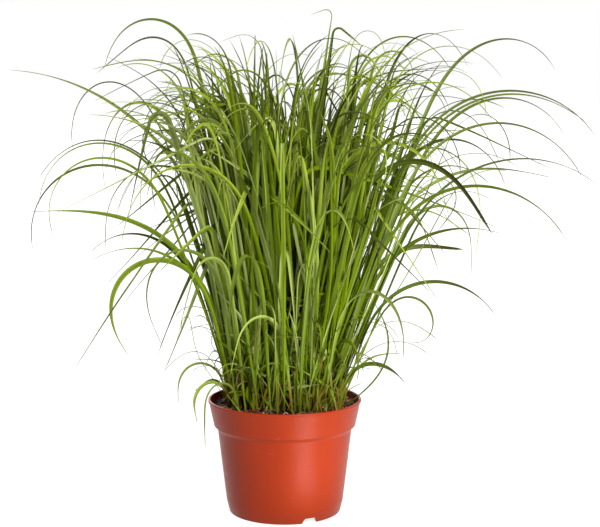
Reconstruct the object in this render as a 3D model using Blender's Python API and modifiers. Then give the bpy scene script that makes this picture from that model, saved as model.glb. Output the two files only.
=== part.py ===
"""Potted ornamental grass: a clump of long arching leaves in a 12 cm plastic nursery pot.

Metres, +Z up. The pot stands on z = 0 with its axis on the Z axis, +X is the plant's right and -Y its front.
Every leaf is one solid that springs from the compost and arches outwards in its own upright plane.
"""

import math

import bmesh
import bpy
from mathutils import Vector

MM = 0.001

# Pot, in millimetres
RIM_RADIUS = 60.0
POT_HEIGHT = 89.5
LIP_DEPTH = 21.0  # the deep band under the rim
LIP_TAPER = 4.5  # how much the band narrows downwards
LIP_STEP = 2.8  # the 45 degree step from the band in to the body
BODY_TOP_RADIUS = RIM_RADIUS - LIP_TAPER - LIP_STEP
BODY_FOOT_RADIUS = 46.0
BEVEL_HEIGHT = 9.0  # the body turns in towards the foot below this
FOOT_RADIUS = 43.6
FOOT_WIDTH = 2.2  # the ring that the pot stands on
WALL = 1.1
BASE_RISE = 4.6  # the base plate stands this far above the table
POT_SIDES = 44

NOTCH_COUNT = 3
NOTCH_AZIMUTH = 296.5
NOTCH_WIDTH = 13.0
NOTCH_TOP_WIDTH = 8.0
NOTCH_HEIGHT = 4.2
DRAIN_RADIUS = 3.5
DRAIN_CIRCLE = 28.0

# Compost, in millimetres
CLEARANCE = 0.35  # the gap between pieces that touch
SOIL_EDGE = 84.5  # height of the compost at the wall
SOIL_CROWN = 1.5  # how much it rises to the middle

# Leaves, in millimetres and degrees
LEAF_BOW = 8.0  # every leaf leans this much more towards its tip, before its own bend
LEAF_STEPS = 13
ARCH_SAMPLES = 160
CROWN_DEPTH = 5.15  # a leaf's length is measured from its crown, this far under the compost
BEND_WEIGHT = 0.35  # a radian of bend earns as many stations as this share of the length
SHEATH_THICKNESS = 1.5
BLADE_THICKNESS = 0.7
TIP_THICKNESS = 0.3
FOLD = 0.13  # depth of the V fold along the midrib, as a share of the width

# Each leaf, side by side round the clump:
# azimuth, root distance from the axis, length, lean at the root, turn of its bend,
# where the bend starts and ends along the leaf, width, twist of the blade, width left at the tip
LEAVES = {
    "left": [
        (173, 18, 385, 8, 146, 0.69, 1.00, 5.0, 60, 0.06),
        (150, 24, 384, 11, 104, 0.68, 0.92, 3.4, 40, 0.06),
        (159, 34, 378, 9, 74, 0.15, 1.15, 3.4, -50, 0.06),
        (146, 32, 392, 20, 196, 0.55, 1.15, 3.0, 30, 0.06),
        (190, 38, 328, 14, 200, 0.38, 1.20, 3.0, -40, 0.06),
        (183, 42, 258, 8, 78, 0.16, 0.98, 5.0, 70, 0.06),
        (155, 38, 342, 16, 142, 0.36, 1.20, 3.0, 45, 0.06),
        (178, 34, 326, 16, 182, 0.47, 1.17, 3.0, -35, 0.06),
        (200, 36, 320, 18, 192, 0.50, 1.10, 3.0, 40, 0.06),
        (141, 28, 388, 20, 165, 0.53, 1.00, 3.4, -55, 0.06),
        (206, 30, 330, 13, 146, 0.70, 0.78, 5.0, 75, 0.10),
        (209, 42, 208, 12, 104, 0.30, 1.15, 3.4, 50, 0.06),
        (169, 40, 214, 16, 126, 0.40, 1.15, 3.4, -50, 0.06),
        (195, 44, 242, 7, 204, 0.26, 1.06, 5.0, 80, 0.08),
        (215, 44, 246, 7, 192, 0.36, 0.94, 3.4, 60, 0.08),
        (226, 42, 208, 7, 146, 0.50, 0.80, 4.0, 55, 0.08),
        (187, 45, 90, 6, 168, 0.15, 0.95, 3.0, 60, 0.06),
        (204, 45, 74, 8, 175, 0.10, 0.90, 3.0, -60, 0.06),
        (220, 44, 94, 12, 162, 0.12, 0.72, 3.0, 50, 0.06),
    ],
    "top": [
        (10, 12, 326, 1, -120, 0.93, 0.97, 4.0, 60, 0.08),
        (345, 14, 322, 1, 122, 0.90, 0.94, 5.0, 80, 0.30),
        (330, 22, 330, 4, 152, 0.84, 0.98, 3.4, 45, 0.08),
        (30, 18, 384, 7, 136, 0.60, 1.05, 4.0, -50, 0.06),
    ],
    "right": [
        (19, 28, 400, 19, 226, 0.60, 1.35, 3.4, 50, 0.06),
        (351, 32, 384, 15, 164, 0.42, 1.25, 3.4, 45, 0.06),
        (358, 36, 368, 14, 122, 0.42, 1.15, 3.4, -40, 0.06),
        (13, 34, 366, 19, 174, 0.50, 1.25, 3.4, 50, 0.06),
        (339, 34, 356, 17, 154, 0.42, 1.20, 3.0, -45, 0.06),
        (347, 38, 322, 20, 144, 0.35, 1.35, 3.4, 40, 0.06),
        (24, 36, 326, 17, 76, 0.25, 0.95, 3.4, 55, 0.06),
        (334, 36, 312, 17, 160, 0.30, 1.30, 3.4, -50, 0.06),
        (325, 32, 312, 10, 126, 0.45, 0.95, 5.0, 70, 0.50),
        (5, 42, 222, 12, 95, 0.25, 1.15, 4.0, 55, 0.06),
        (29, 40, 206, 17, 74, 0.35, 0.90, 5.0, 70, 0.50),
        (18, 38, 264, 22, 148, 0.53, 0.93, 3.4, 45, 0.06),
        (343, 45, 196, 15, 172, 0.20, 1.40, 4.0, 55, 0.06),
        (328, 40, 186, 27, 400, 0.45, 1.35, 3.0, 40, 0.06),
        (336, 46, 86, 8, 128, 0.10, 1.10, 4.0, 60, 0.06),
    ],
    "front": [
        (240, 38, 322, 14, 150, 0.40, 1.20, 3.4, 25, 0.06),
        (256, 42, 250, 10, 190, 0.30, 1.10, 4.0, -20, 0.06),
        (270, 36, 330, 15, 140, 0.40, 1.20, 3.4, 20, 0.06),
        (285, 42, 270, 12, 150, 0.35, 1.20, 4.0, 30, 0.06),
        (304, 38, 330, 15, 150, 0.45, 1.20, 3.4, -30, 0.06),
        (312, 44, 190, 10, 180, 0.30, 1.10, 3.4, 35, 0.06),
    ],
    "back": [
        (44, 42, 280, 14, 150, 0.35, 1.20, 3.4, 35, 0.06),
        (60, 38, 326, 15, 150, 0.42, 1.20, 3.4, -25, 0.06),
        (76, 42, 250, 10, 190, 0.30, 1.10, 4.0, 20, 0.06),
        (92, 36, 332, 15, 140, 0.40, 1.20, 3.4, -20, 0.06),
        (112, 42, 260, 12, 160, 0.35, 1.20, 4.0, 25, 0.06),
        (128, 38, 320, 15, 150, 0.40, 1.20, 3.4, -35, 0.06),
    ],
}

# The heart of the clump, where the leaves stand too close to be separate solids:
# slender sheaves of upright leaves, each given by azimuth, root distance, length, lean and turn
SHEAVES = [
    (190, 5, 272, 1, 10),
    (222, 22, 278, 6, 26),
    (246, 22, 290, 6, 24),
    (270, 22, 272, 7, 30),
    (294, 22, 284, 6, 26),
    (66, 22, 290, 6, 24),
    (94, 22, 276, 7, 30),
    (122, 22, 286, 6, 26),
]
SHEAF_FLUTES = 5
SHEAF_STEPS = 9
SHEAF_ROOT = 3.4  # half width at the compost
SHEAF_BULGE = 7.0  # half width where the sheaf is fullest
SHEAF_FULLEST = 0.62
SHEAF_TIP = 1.2

POT_PLASTIC = ("terracotta_plastic", (0.47, 0.062, 0.018), 0.42)
COMPOST = ("compost", (0.022, 0.013, 0.010), 0.95)
LEAF_GREEN = ("leaf_green", (0.16, 0.31, 0.030), 0.48)
HEART_GREEN = ("heart_green", (0.10, 0.22, 0.022), 0.55)


def clear_scene():
    for existing in list(bpy.data.objects):
        bpy.data.objects.remove(existing, do_unlink=True)


def new_collection(name):
    collection = bpy.data.collections.new(name)
    bpy.context.scene.collection.children.link(collection)
    return collection


def principled(finish):
    """A plastic or plant material from its name, base colour and roughness."""
    name, color, roughness = finish
    material = bpy.data.materials.new(name)
    material.use_nodes = True
    shader = material.node_tree.nodes["Principled BSDF"]
    shader.inputs["Base Color"].default_value = (*color, 1.0)
    shader.inputs["Roughness"].default_value = roughness
    shader.inputs["Metallic"].default_value = 0.0
    return material


def add_mesh(name, points, faces, collection, material=None):
    """An object from points in millimetres."""
    mesh = bpy.data.meshes.new(name)
    mesh.from_pydata([Vector(p) * MM for p in points], [], faces)
    if material:
        mesh.materials.append(material)
    obj = bpy.data.objects.new(name, mesh)
    collection.objects.link(obj)
    return obj


def turned(name, profile, collection, material):
    """A body of revolution from (radius, height) pairs that start and end on the axis."""
    mesh = bpy.data.meshes.new(name)
    points = [Vector((radius, 0, height)) * MM for radius, height in profile]
    mesh.from_pydata(points, [(i, i + 1) for i in range(len(points) - 1)], [])
    mesh.materials.append(material)
    obj = bpy.data.objects.new(name, mesh)
    collection.objects.link(obj)
    screw = obj.modifiers.new("turn", "SCREW")
    screw.axis = "Z"
    screw.steps = screw.render_steps = POT_SIDES
    screw.use_merge_vertices = True
    screw.merge_threshold = 0.00001
    screw.use_smooth_shade = True
    return obj


def cutter(obj):
    obj.hide_render = True
    obj.display_type = "WIRE"
    return obj


def cut(obj, tool):
    boolean = obj.modifiers.new("cut " + tool.name, "BOOLEAN")
    boolean.operation = "DIFFERENCE"
    boolean.solver = "EXACT"
    boolean.object = tool


def body_radius(height):
    """Outer radius of the pot's tapered body."""
    body_top = POT_HEIGHT - LIP_DEPTH - LIP_STEP
    share = (height - BEVEL_HEIGHT) / (body_top - BEVEL_HEIGHT)
    return BODY_FOOT_RADIUS + share * (BODY_TOP_RADIUS - BODY_FOOT_RADIUS)


def pot_inner_profile():
    """(radius, height) from the middle of the base plate out and up the inside to the rim."""
    lip_bottom = POT_HEIGHT - LIP_DEPTH
    body_top = lip_bottom - LIP_STEP
    floor = BASE_RISE + WALL
    return [
        (0, floor),
        (body_radius(BEVEL_HEIGHT) - WALL - 1.6, floor),
        (body_radius(BEVEL_HEIGHT) - WALL, BEVEL_HEIGHT + 0.5),
        (BODY_TOP_RADIUS - WALL, body_top + 0.5),
        (RIM_RADIUS - LIP_TAPER - WALL, lip_bottom + 0.5),
        (RIM_RADIUS - WALL - 0.6, POT_HEIGHT - 1.4),
        (RIM_RADIUS - WALL - 0.3, POT_HEIGHT - 0.4),
    ]


def pot_outer_profile():
    """(radius, height) from the rolled rim down the outside, round the foot and under the base plate."""
    lip_bottom = POT_HEIGHT - LIP_DEPTH
    body_top = lip_bottom - LIP_STEP
    foot_inner = FOOT_RADIUS - FOOT_WIDTH
    return [
        (RIM_RADIUS - 0.8, POT_HEIGHT),
        (RIM_RADIUS - 0.1, POT_HEIGHT - 0.5),
        (RIM_RADIUS, POT_HEIGHT - 1.4),
        (RIM_RADIUS - 0.5, POT_HEIGHT - 2.2),
        (RIM_RADIUS - LIP_TAPER, lip_bottom + 0.5),
        (RIM_RADIUS - LIP_TAPER - 0.5, lip_bottom),
        (BODY_TOP_RADIUS, body_top),
        (BODY_FOOT_RADIUS, BEVEL_HEIGHT),
        (FOOT_RADIUS + 0.3, 0.6),
        (FOOT_RADIUS, 0),
        (foot_inner, 0),
        (foot_inner, BASE_RISE - 0.6),
        (foot_inner - 0.8, BASE_RISE),
        (0, BASE_RISE),
    ]


def drainage_notch(index, collection):
    """A wedge-sided block that opens one drainage notch through the foot ring."""
    depth = 12.0
    below = -2.0
    half_foot, half_top = NOTCH_WIDTH / 2, NOTCH_TOP_WIDTH / 2
    outline = [(-half_foot, below), (half_foot, below), (half_foot, 0), (half_top, NOTCH_HEIGHT)]
    outline += [(-half_top, NOTCH_HEIGHT), (-half_foot, 0)]
    count = len(outline)
    near, far = FOOT_RADIUS - depth / 2, FOOT_RADIUS + depth / 2
    points = [(near, y, z) for y, z in outline] + [(far, y, z) for y, z in outline]
    faces = [tuple(reversed(range(count))), tuple(range(count, 2 * count))]
    faces += [(i, (i + 1) % count, count + (i + 1) % count, count + i) for i in range(count)]
    notch = cutter(add_mesh(f"notch_{index + 1}", points, faces, collection))
    notch.rotation_euler.z = math.radians(NOTCH_AZIMUTH + index * 360 / NOTCH_COUNT)
    return notch


def drain_hole(index, collection):
    """A round drain hole in the base plate, on the line of a notch, and one more in the middle."""
    bpy.ops.mesh.primitive_cylinder_add(vertices=12, radius=DRAIN_RADIUS * MM, depth=8 * WALL * MM)
    hole = cutter(bpy.context.object)
    hole.name = f"drain_{index + 1}"
    for owner in list(hole.users_collection):
        owner.objects.unlink(hole)
    collection.objects.link(hole)
    azimuth = math.radians(NOTCH_AZIMUTH + index * 360 / NOTCH_COUNT)
    reach = DRAIN_CIRCLE * MM if index < NOTCH_COUNT else 0.0
    hole.location = (reach * math.cos(azimuth), reach * math.sin(azimuth), (BASE_RISE + WALL / 2) * MM)
    return hole


def make_pot(parts, cutters):
    profile = pot_inner_profile() + pot_outer_profile()
    pot = turned("pot", profile, parts, principled(POT_PLASTIC))
    for index in range(NOTCH_COUNT):
        cut(pot, drainage_notch(index, cutters))
    for index in range(NOTCH_COUNT + 1):
        cut(pot, drain_hole(index, cutters))
    return pot


def soil_height(distance):
    """Height of the compost at a distance from the axis: a low smooth crown."""
    wall = RIM_RADIUS - LIP_TAPER
    return SOIL_EDGE + SOIL_CROWN * (1 - (distance / wall) ** 2)


def make_soil(parts):
    """The compost fills the pot up to its crown, a clearance away from wall and base plate."""
    inner = pot_inner_profile()
    lip_foot, rim = inner[-3], inner[-2]
    share = (SOIL_EDGE - lip_foot[1]) / (rim[1] - lip_foot[1])
    edge = lip_foot[0] + share * (rim[0] - lip_foot[0]) - CLEARANCE
    top = [(radius, soil_height(radius)) for radius in (0, 18, 36)]
    sides = [(edge, SOIL_EDGE), (lip_foot[0] - CLEARANCE, lip_foot[1] + 0.2)]
    sides += [(radius - CLEARANCE, height) for radius, height in reversed(inner[2:4])]
    bottom = [(inner[1][0] - CLEARANCE, inner[1][1] + CLEARANCE), (0, inner[0][1] + CLEARANCE)]
    return turned("soil", top + sides + bottom, parts, principled(COMPOST))


def smooth(share):
    share = min(max(share, 0.0), 1.0)
    return share * share * (3 - 2 * share)


def arch(azimuth, root, length, lean, turn, start, end, steps):
    """Stations (share of length, point, angle from upright) along a leaf, closer together where it bends.
    The first stands just clear of the compost.
    """
    outward = Vector((math.cos(math.radians(azimuth)), math.sin(math.radians(azimuth)), 0))
    up = Vector((0, 0, 1))
    buried = (CROWN_DEPTH + CLEARANCE) / math.cos(math.radians(lean))
    crown = outward * root + up * (soil_height(root) - CROWN_DEPTH)
    point = crown + (outward * math.sin(math.radians(lean)) + up * math.cos(math.radians(lean))) * buried
    step_share = (1 - buried / length) / ARCH_SAMPLES
    samples, measures = [], []
    for i in range(ARCH_SAMPLES + 1):
        along = buried / length + i * step_share
        angle = math.radians(lean + LEAF_BOW * along + turn * smooth((along - start) / (end - start)))
        bend = abs(angle - samples[-1][2]) if samples else 0.0
        measures.append((measures[-1] + 1 / ARCH_SAMPLES + BEND_WEIGHT * bend) if samples else 0.0)
        samples.append((along, point, angle))
        point = point + (outward * math.sin(angle) + up * math.cos(angle)) * (length * step_share)
    stations = []
    for step in range(steps + 1):
        reached = step / steps * measures[-1] - 1e-9
        stations.append(samples[next(i for i, measure in enumerate(measures) if measure >= reached)])
    return outward, stations


def loft(name, rings, collection, material):
    """A closed solid from equal rings of points."""
    count = len(rings[0])
    points = [p for ring in rings for p in ring]
    faces = [tuple(reversed(range(count)))]
    for ring in range(len(rings) - 1):
        low, high = ring * count, (ring + 1) * count
        faces += [(low + i, low + (i + 1) % count, high + (i + 1) % count, high + i) for i in range(count)]
    faces.append(tuple(range(len(points) - count, len(points))))
    obj = add_mesh(name, points, faces, collection, material)
    solid = bmesh.new()
    solid.from_mesh(obj.data)
    bmesh.ops.triangulate(solid, faces=solid.faces)
    bmesh.ops.recalc_face_normals(solid, faces=solid.faces)
    solid.to_mesh(obj.data)
    solid.free()
    return obj


def blade_width(along, width, tip):
    """A folded narrow sheath that opens to the full blade, then draws out to the tip."""
    opening = 0.55 + 0.45 * smooth(along / 0.35)
    closing = 1 - (1 - tip) * smooth((along - 0.45) / 0.55) ** 1.4
    return width * opening * closing


def blade_thickness(along):
    sheath = SHEATH_THICKNESS + (BLADE_THICKNESS - SHEATH_THICKNESS) * smooth(along / 0.3)
    return sheath + (TIP_THICKNESS - BLADE_THICKNESS) * smooth((along - 0.5) / 0.5)


def make_leaf(name, leaf, parts, material):
    azimuth, root, length, lean, turn, start, end, width, twist, tip = leaf
    outward, stations = arch(azimuth, root, length, lean, turn, start, end, LEAF_STEPS)
    sideways = Vector((-outward.y, outward.x, 0))
    rings = []
    for along, point, angle in stations:
        upper = Vector((0, 0, 1)) * math.sin(angle) - outward * math.cos(angle)
        turned_by = math.radians(twist) * smooth(along / 0.6)
        across = sideways * math.cos(turned_by) + upper * math.sin(turned_by)
        face = upper * math.cos(turned_by) - sideways * math.sin(turned_by)
        half = blade_width(along, width, tip) / 2
        keel = -2 * FOLD * half
        thick = blade_thickness(along) / 2
        middle_up, middle_down = point + face * (keel + thick), point + face * (keel - thick)
        rings.append([point - across * half, middle_down, point + across * half, middle_up])
    return loft(name, rings, parts, material)


def sheaf_half_width(along):
    if along < SHEAF_FULLEST:
        return SHEAF_ROOT + (SHEAF_BULGE - SHEAF_ROOT) * smooth(along / SHEAF_FULLEST)
    return SHEAF_BULGE + (SHEAF_TIP - SHEAF_BULGE) * smooth((along - SHEAF_FULLEST) / (1 - SHEAF_FULLEST))


def make_sheaf(name, sheaf, parts, material):
    """A fluted bundle of upright leaves, drawn in to one tip."""
    azimuth, root, length, lean, turn = sheaf
    outward, stations = arch(azimuth, root, length, lean, turn, 0.5, 1.0, SHEAF_STEPS)
    sideways = Vector((-outward.y, outward.x, 0))
    rings = []
    for along, point, angle in stations:
        upper = Vector((0, 0, 1)) * math.sin(angle) - outward * math.cos(angle)
        ring = []
        for corner in range(2 * SHEAF_FLUTES):
            turned_by = math.pi * corner / SHEAF_FLUTES
            reach = sheaf_half_width(along) * (1.0 if corner % 2 else 0.72)
            ring.append(point + sideways * reach * math.cos(turned_by) + upper * reach * math.sin(turned_by))
        rings.append(ring)
    return loft(name, rings, parts, material)


def make_plant(parts):
    leaf_material = principled(LEAF_GREEN)
    for side, leaves in LEAVES.items():
        for index, leaf in enumerate(leaves):
            make_leaf(f"leaf_{side}_{index + 1}", leaf, parts, leaf_material)
    heart_material = principled(HEART_GREEN)
    for index, sheaf in enumerate(SHEAVES):
        make_sheaf(f"sheaf_{index + 1}", sheaf, parts, heart_material)


def main():
    clear_scene()
    parts = new_collection("potted_ornamental_grass")
    cutters = new_collection("cutters")
    make_pot(parts, cutters)
    make_soil(parts)
    make_plant(parts)


main()
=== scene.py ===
"""Potted ornamental grass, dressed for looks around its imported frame.

Metres, +Z up, the pot's axis on the Z axis, +X the plant's right and -Y its front.
Lengths in the tables below are in millimetres and angles in degrees.
"""

import math

import bmesh
import bpy
import numpy as np
from mathutils import Matrix, Vector, noise


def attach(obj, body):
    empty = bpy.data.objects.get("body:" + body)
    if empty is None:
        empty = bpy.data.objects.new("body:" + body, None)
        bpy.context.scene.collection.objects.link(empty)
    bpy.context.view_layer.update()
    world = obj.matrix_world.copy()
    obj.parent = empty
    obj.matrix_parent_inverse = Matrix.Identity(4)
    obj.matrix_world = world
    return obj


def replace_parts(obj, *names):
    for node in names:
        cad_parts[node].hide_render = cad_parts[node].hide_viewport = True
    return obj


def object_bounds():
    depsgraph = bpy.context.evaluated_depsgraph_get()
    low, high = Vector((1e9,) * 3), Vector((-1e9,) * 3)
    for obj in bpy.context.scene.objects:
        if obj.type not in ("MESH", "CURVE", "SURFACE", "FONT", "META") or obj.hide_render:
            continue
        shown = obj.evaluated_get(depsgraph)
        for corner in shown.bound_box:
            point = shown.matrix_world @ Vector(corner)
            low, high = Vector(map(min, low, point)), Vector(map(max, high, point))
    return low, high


MM = 0.001

# Pot
RIM_RADIUS = 60.0
POT_HEIGHT = 89.5
LIP_BOTTOM = 68.5
BODY_TOP = 65.7
BODY_TOP_RADIUS = 52.7
BODY_FOOT_RADIUS = 46.0
BEVEL_HEIGHT = 9.0
FOOT_RADIUS = 43.6
FOOT_WIDTH = 2.2
WALL = 1.1
BASE_RISE = 4.6
POT_SIDES = 176
NOTCH_COUNT = 3
NOTCH_AZIMUTH = 296.5
NOTCH_WIDTH = 13.0
NOTCH_TOP_WIDTH = 8.0
NOTCH_HEIGHT = 4.2
DRAIN_RADIUS = 3.5
DRAIN_CIRCLE = 28.0
NOTCH_CORNER = 1.2
CUT_DEPTH = 6.0
CORNER_RADIUS = 0.55

# Compost
SOIL_EDGE = 84.5
SOIL_CROWN = 1.5
SOIL_WALL = 55.5
SOIL_RADIUS = 57.4  # where the compost meets the pot
CROWN_DEPTH = 5.15  # leaves grow from this far under the compost
CROWN_SWELL = 4.0  # the roots have lifted the compost under the clump by this
# The compost's side, just inside the pot's wall, going down: radius and height
PLUG_SIDE = ((54.0, 69.2), (51.2, 66.2), (44.5, 9.5), (42.9, 6.1))
CRUMB_COUNT = 900
THREAD_COUNT = 320

# Leaves
LEAF_BOW = 8.0
USUAL_TIP = 0.06
BEND_WEIGHT = 0.35
FINE_STEPS = 160
LEAF_STEPS = 44
FOLD = 0.32
LEAST_WIDTH = 0.75  # the threadlike end of a drawn-out tip
MASS_TOP = 371.0
SHOOT_COUNT, LEAVES_PER_SHOOT = 54, 8
CLUMP_REACH = 43  # the outermost shoots stand this far from the axis
GOLDEN_ANGLE = 2.39996
SHEATH_THICKNESS, BLADE_THICKNESS, TIP_THICKNESS = 1.3, 0.45, 0.16

# The leaves that shape the outline, side by side round the clump:
# azimuth, root distance from the axis, length, lean at the root, turn of its bend,
# where the bend starts and ends along the leaf, width, twist of the blade, and the share of the width
# that is left at the tip where it isn't USUAL_TIP
LEAVES = {
    "left": [
        (173, 18, 385, 8, 146, 0.69, 1.00, 5.0, 60),
        (150, 24, 384, 11, 104, 0.68, 0.92, 3.4, 40),
        (159, 34, 378, 9, 74, 0.15, 1.15, 3.4, -50),
        (146, 32, 392, 20, 196, 0.55, 1.15, 3.0, 30),
        (190, 38, 328, 14, 200, 0.38, 1.20, 3.0, -40),
        (183, 42, 258, 8, 78, 0.16, 0.98, 5.0, 70),
        (155, 38, 342, 16, 142, 0.36, 1.20, 3.0, 45),
        (178, 34, 326, 16, 182, 0.47, 1.17, 3.0, -35),
        (200, 36, 320, 18, 192, 0.50, 1.10, 3.0, 40),
        (141, 28, 388, 20, 165, 0.53, 1.00, 3.4, -55),
        (206, 30, 330, 13, 146, 0.70, 0.78, 5.0, 75, 0.10),
        (209, 42, 208, 12, 104, 0.30, 1.15, 3.4, 50),
        (169, 40, 214, 16, 126, 0.40, 1.15, 3.4, -50),
        (195, 44, 242, 7, 204, 0.26, 1.06, 5.0, 80, 0.08),
        (215, 44, 246, 7, 192, 0.36, 0.94, 3.4, 60, 0.08),
        (226, 42, 208, 7, 146, 0.50, 0.80, 4.0, 55, 0.08),
        (187, 45, 90, 6, 168, 0.15, 0.95, 3.0, 60),
        (204, 45, 74, 8, 175, 0.10, 0.90, 3.0, -60),
        (220, 44, 94, 12, 162, 0.12, 0.72, 3.0, 50),
    ],
    "top": [
        (10, 12, 326, 1, -120, 0.93, 0.97, 4.0, 60, 0.08),
        (345, 14, 322, 1, 122, 0.90, 0.94, 5.0, 80, 0.30),
        (330, 22, 330, 4, 152, 0.84, 0.98, 3.4, 45, 0.08),
        (30, 18, 384, 7, 136, 0.60, 1.05, 4.0, -50),
    ],
    "right": [
        (19, 28, 400, 19, 226, 0.60, 1.35, 3.4, 50),
        (351, 32, 384, 15, 164, 0.42, 1.25, 3.4, 45),
        (358, 36, 368, 14, 122, 0.42, 1.15, 3.4, -40),
        (13, 34, 366, 19, 174, 0.50, 1.25, 3.4, 50),
        (339, 34, 356, 17, 154, 0.42, 1.20, 3.0, -45),
        (347, 38, 322, 20, 144, 0.35, 1.35, 3.4, 40),
        (24, 36, 326, 17, 76, 0.25, 0.95, 3.4, 55),
        (334, 36, 312, 17, 160, 0.30, 1.30, 3.4, -50),
        (325, 32, 312, 10, 126, 0.45, 0.95, 5.0, 70, 0.50),
        (5, 42, 222, 12, 95, 0.25, 1.15, 4.0, 55),
        (29, 40, 206, 17, 74, 0.35, 0.90, 5.0, 70, 0.50),
        (18, 38, 264, 22, 148, 0.53, 0.93, 3.4, 45),
        (343, 45, 196, 15, 172, 0.20, 1.40, 4.0, 55),
        (328, 40, 186, 27, 400, 0.45, 1.35, 3.0, 40),
        (336, 46, 86, 8, 128, 0.10, 1.10, 4.0, 60),
    ],
    "front": [
        (240, 38, 322, 14, 150, 0.40, 1.20, 3.4, 25),
        (256, 42, 250, 10, 190, 0.30, 1.10, 4.0, -20),
        (270, 36, 330, 15, 140, 0.40, 1.20, 3.4, 20),
        (285, 42, 270, 12, 150, 0.35, 1.20, 4.0, 30),
        (304, 38, 330, 15, 150, 0.45, 1.20, 3.4, -30),
        (312, 44, 190, 10, 180, 0.30, 1.10, 3.4, 35),
    ],
    "back": [
        (44, 42, 280, 14, 150, 0.35, 1.20, 3.4, 35),
        (60, 38, 326, 15, 150, 0.42, 1.20, 3.4, -25),
        (76, 42, 250, 10, 190, 0.30, 1.10, 4.0, 20),
        (92, 36, 332, 15, 140, 0.40, 1.20, 3.4, -20),
        (112, 42, 260, 12, 160, 0.35, 1.20, 4.0, 25),
        (128, 38, 320, 15, 150, 0.40, 1.20, 3.4, -35),
    ],
}
# Leaves of the mass that stand out: bearing of the root, then the same columns, then how pale
STANDOUT = [
    (355, 0, 43, 112, 50, -92, 0.10, 1.00, 2.2, 40, 0.20, 0.10),
    (340, 8, 22, 332, 5, 150, 0.76, 0.96, 4.2, 40, 0.15, 0.15),
    (10, 345, 26, 326, 6, 160, 0.80, 0.98, 4.4, -50, 0.15, 0.10),
    (80, 20, 16, 338, 3, 130, 0.74, 1.00, 4.0, 30, 0.12, 0.30),
    (200, 175, 12, 318, 2, 140, 0.80, 0.98, 4.2, 60, 0.12, 0.20),
    (30, 350, 30, 300, 8, 165, 0.78, 0.94, 4.4, 50, 0.15, 0.45),
    (275, 200, 26, 252, 3, 140, 0.82, 0.88, 4.4, 60, 0.12, 0.12),
    (225, 290, 38, 284, 4, 160, 0.74, 0.80, 4.4, 40, 0.12, 0.15),
    (240, 220, 30, 262, 5, 150, 0.80, 0.90, 4.0, 70, 0.10, 0.35),
    (300, 340, 20, 312, 8, 150, 0.52, 0.98, 4.0, 60, 0.10, 0.10),
    (330, 10, 16, 352, 10, 130, 0.55, 1.05, 2.6, -50, 0.08, 0.05),
    (20, 355, 14, 318, 5, 170, 0.72, 1.00, 3.4, 50, 0.08, 0.10),
    (120, 150, 20, 308, 1, 60, 0.60, 1.10, 4.2, 50, 0.10, 0.15),
    (200, 185, 22, 300, 3, 40, 0.55, 1.10, 4.4, 75, 0.10, 0.20),
    (180, 20, 14, 306, 5, 30, 0.55, 1.10, 4.2, 60, 0.10, 0.10),
    (300, 60, 12, 302, 6, 45, 0.60, 1.10, 4.4, -60, 0.10, 0.25),
    (250, 350, 34, 300, 9, 25, 0.50, 1.10, 4.0, 40, 0.10, 0.60),
    (290, 175, 36, 286, 8, 30, 0.50, 1.10, 4.0, -40, 0.10, 0.45),
    (262, 285, 40, 215, 4, 150, 0.55, 0.75, 4.2, 50, 0.10, 0.40),
    (305, 250, 40, 190, 5, 165, 0.55, 0.80, 4.0, 60, 0.10, 0.45),
    (235, 300, 42, 170, 6, 170, 0.45, 0.75, 3.8, -50, 0.10, 0.30),
    (280, 215, 43, 150, 8, 150, 0.40, 0.85, 3.6, 45, 0.10, 0.40),
]
# How dark each side's leaves are drawn, as a range of deep: random tone, with the right side's darker range
# painted shade
SHADE = {"left": (0.3, 1.0), "top": (0.3, 0.8), "right": (0.65, 1.0), "front": (0.1, 0.8), "back": (0.1, 0.9)}
PALE_LEAVES = {"leaf_left_11": 0.5, "leaf_left_16": 0.3, "leaf_right_11": 0.35}
WIDEST = 4.4
COLUMNS = ("azimuth", "root", "length", "lean", "turn", "start", "end", "width", "twist", "tip")


def smooth(share):
    share = np.clip(share, 0.0, 1.0)
    return share * share * (3 - 2 * share)


def soil_height(distance):
    return SOIL_EDGE + SOIL_CROWN * (1 - (distance / SOIL_WALL) ** 2)


# ---------------- meshes


def linked(name, data):
    """A new object in the scene."""
    obj = bpy.data.objects.new(name, data)
    bpy.context.scene.collection.objects.link(obj)
    return obj


def mesh_object(name, points, faces, materials, smooth_faces=True):
    """An object from points in millimetres and a list or array of faces."""
    mesh = bpy.data.meshes.new(name)
    mesh.from_pydata(np.asarray(points, float) * MM, [], faces)
    mesh.polygons.foreach_set("use_smooth", np.full(len(mesh.polygons), smooth_faces))
    for material in materials:
        mesh.materials.append(material)
    mesh.update()
    obj = linked(name, mesh)
    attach(obj, "root")
    return obj


def point_value(mesh, name, values):
    layer = mesh.attributes.new(name, "FLOAT", "POINT")
    layer.data.foreach_set("value", np.ascontiguousarray(values, np.float32).ravel())


# ---------------- leaves


def bunch(count, **columns):
    """Blades as a dict of equal columns. A single value fills its column."""
    blades = dict(
        bearing=None, bow=LEAF_BOW, tip=USUAL_TIP, veer=0.0, sway=1.0, curl=0.0, draw=1.4,
        pale=0.0, dry=0.0, deep=0.5,
    )
    blades.update(columns)
    if blades["bearing"] is None:
        blades["bearing"] = blades["azimuth"]
    return {key: np.broadcast_to(np.asarray(value, float), (count,)).copy() for key, value in blades.items()}


def merged(bunches):
    return {key: np.concatenate([b[key] for b in bunches]) for key in bunches[0]}


def chosen(blades, keep):
    return {key: column[keep] for key, column in blades.items()}


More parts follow.
